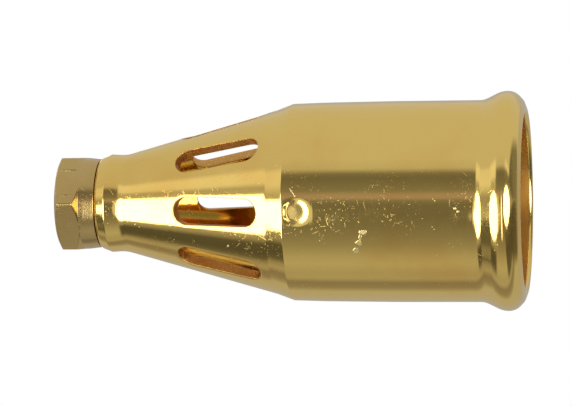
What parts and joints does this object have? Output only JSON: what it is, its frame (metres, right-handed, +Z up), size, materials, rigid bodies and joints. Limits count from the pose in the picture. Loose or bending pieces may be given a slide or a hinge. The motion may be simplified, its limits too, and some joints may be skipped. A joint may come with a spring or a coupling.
{
  "type": "gas torch burner head",
  "caption": "Brass burner head of a gas torch: hex inlet socket, vented cone, barrel with a beaded mouth, jet train and flame stabiliser.",
  "frame": {"origin": "centre of the inlet end face, on the burner's axis", "axes": "+X along the burner's axis from the inlet to the mouth, +Z up, -Y through the middle of one air slot and one punch dimple"},
  "size_m": [0.1225, 0.057, 0.057],
  "materials": {
    "polished_brass": "polished, with fine scratches",
    "turned_brass": "turned and milled",
    "heat_tinted_brass": "heat tinted",
    "solder": "dull",
    "copper": "soft annealed copper",
    "steel": "stainless",
    "fibre": "pressed fibre"
  },
  "bodies": {
    "burner": {"burner_body": "polished_brass", "inlet_socket": "turned_brass", "solder_ring": "solder", "inlet_gasket": "fibre", "stabiliser_ring": "heat_tinted_brass", "stabiliser_tube": "heat_tinted_brass", "flame_grid": "heat_tinted_brass"},
    "washer": {"jet_washer": "copper"},
    "jet": {"jet_carrier": "turned_brass", "jet_nozzle": "turned_brass", "filter_gauze": "steel", "filter_ring": "steel"}
  },
  "joints": [
    {"name": "jet_withdraw", "type": "slide", "parent": "burner", "child": "washer", "axis": [-1, 0, 0], "range_m": [0, 0.0035]},
    {"name": "jet_unscrew", "type": "hinge", "parent": "washer", "child": "jet", "pos_m": [0, 0, 0], "axis": [-1, 0, 0], "range_deg": [0, 1260]}
  ],
  "couplings": [
    {"joint": "jet_unscrew", "follows": "jet_withdraw", "rad_per_m": 6283.2}
  ]
}
